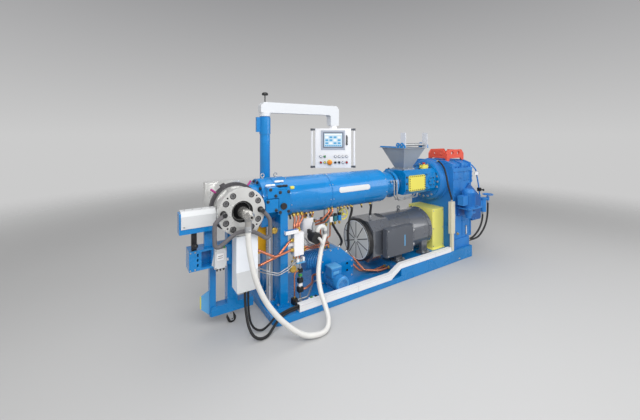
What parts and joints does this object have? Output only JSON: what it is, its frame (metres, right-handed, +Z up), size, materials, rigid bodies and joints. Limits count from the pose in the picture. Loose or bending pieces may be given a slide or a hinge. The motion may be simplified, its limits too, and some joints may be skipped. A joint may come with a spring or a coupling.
{
  "type": "rubber extruder",
  "caption": "Rubber extruder on a blue base frame: hopper, jacketed barrel and right-angle crosshead, with motor, gearbox, vacuum hose and a swing-arm control panel.",
  "frame": {"origin": "on the floor under the base frame, on its middle line", "axes": "+X along the barrel from the crosshead to the gearbox, -Y towards the operator, +Z up"},
  "size_m": [4.202, 1.1442, 2.119],
  "materials": {
    "blue_paint": "satin enamel",
    "gear_blue": "satin enamel",
    "motor_grey": "satin enamel",
    "light_grey": "satin enamel",
    "white_paint": "powder coat",
    "yellow_paint": "satin enamel",
    "red_paint": "satin enamel",
    "sheet_grey": "satin",
    "steel": "machined",
    "dark_steel": "oiled",
    "zinc": "zinc plated",
    "copper": "drawn copper tube",
    "black_rubber": "matt",
    "black_plastic": "matt",
    "beige_plastic": "matt",
    "white_hose": "satin",
    "orange_paint": "satin enamel",
    "grey_foam": "matt"
  },
  "bodies": {
    "frame": {"base_frame": "blue_paint", "cable_duct": "white_paint", "front_support": "blue_paint", "clamp_block": "blue_paint", "head_adapter": "blue_paint", "barrel_front": "blue_paint", "barrel_rear": "blue_paint", "barrel_neck": "blue_paint", "feed_box": "blue_paint", "feed_cover": "yellow_paint", "feed_side_plate": "blue_paint", "estop_box": "yellow_paint", "hopper": "sheet_grey", "hopper_brackets": "blue_paint", "thrust_housing": "gear_blue", "gearbox_case": "gear_blue", "gearbox_lid": "gear_blue", "lifting_yoke": "red_paint", "oil_pump": "gear_blue", "oil_filter": "gear_blue", "cable_conduit": "beige_plastic", "motor_body": "motor_grey", "motor_fan_cover": "light_grey", "motor_terminal_box": "motor_grey", "coupling_guard": "yellow_paint", "pump_housing": "blue_paint", "pump_motor": "blue_paint", "valve_group": "white_paint", "pipework": "copper", "vacuum_filter": "black_plastic", "orange_guard": "orange_paint", "support_jack": "zinc", "hmi_mast": "blue_paint", "crosshead_body": "steel", "crosshead_band": "dark_steel", "crosshead_disc": "steel", "mandrel": "steel", "temper_pipe": "grey_foam", "head_column": "blue_paint", "head_console": "blue_paint", "head_cover": "white_paint", "cover_box": "white_paint", "vacuum_hose": "white_hose", "head_cable": "black_rubber", "head_cable_back": "black_rubber", "feed_cable": "black_rubber", "temper_hose_front": "black_rubber", "temper_hose_back": "black_rubber", "fan_hose": "black_rubber", "oil_hose_front": "black_rubber", "oil_hose_rear": "black_rubber"},
    "arm": {"hmi_arm": "white_paint"},
    "panel": {"hmi_panel": "white_paint", "hmi_controls": "dark_steel"},
    "roller": {"feed_roller": "steel"},
    "roller_back": {"feed_roller_back": "steel"},
    "caster": {"caster_fork": "zinc"},
    "wheel": {"caster_wheel": "black_rubber"}
  },
  "joints": [
    {"name": "arm_swing", "type": "hinge", "parent": "frame", "child": "arm", "pos_m": [-1.236, 0.3, 1.857], "axis": [0, 0, 1], "range_deg": [-120, 90]},
    {"name": "panel_swivel", "type": "hinge", "parent": "arm", "child": "panel", "pos_m": [-0.346, 0.3, 1.767], "axis": [0, 0, 1], "range_deg": [-90, 120]},
    {"name": "roller_spin", "type": "hinge", "parent": "frame", "child": "roller", "pos_m": [0.568, -0.1745, 1.535], "axis": [1, 0, 0], "continuous": true},
    {"name": "roller_back_spin", "type": "hinge", "parent": "frame", "child": "roller_back", "pos_m": [0.568, -0.1085, 1.535], "axis": [1, 0, 0], "continuous": true},
    {"name": "caster_swivel", "type": "hinge", "parent": "frame", "child": "caster", "pos_m": [-1.734, -0.078, 0.11], "axis": [0, 0, 1], "continuous": true},
    {"name": "caster_roll", "type": "hinge", "parent": "caster", "child": "wheel", "pos_m": [-1.71, -0.078, 0.038], "axis": [0, 1, 0], "continuous": true}
  ]
}
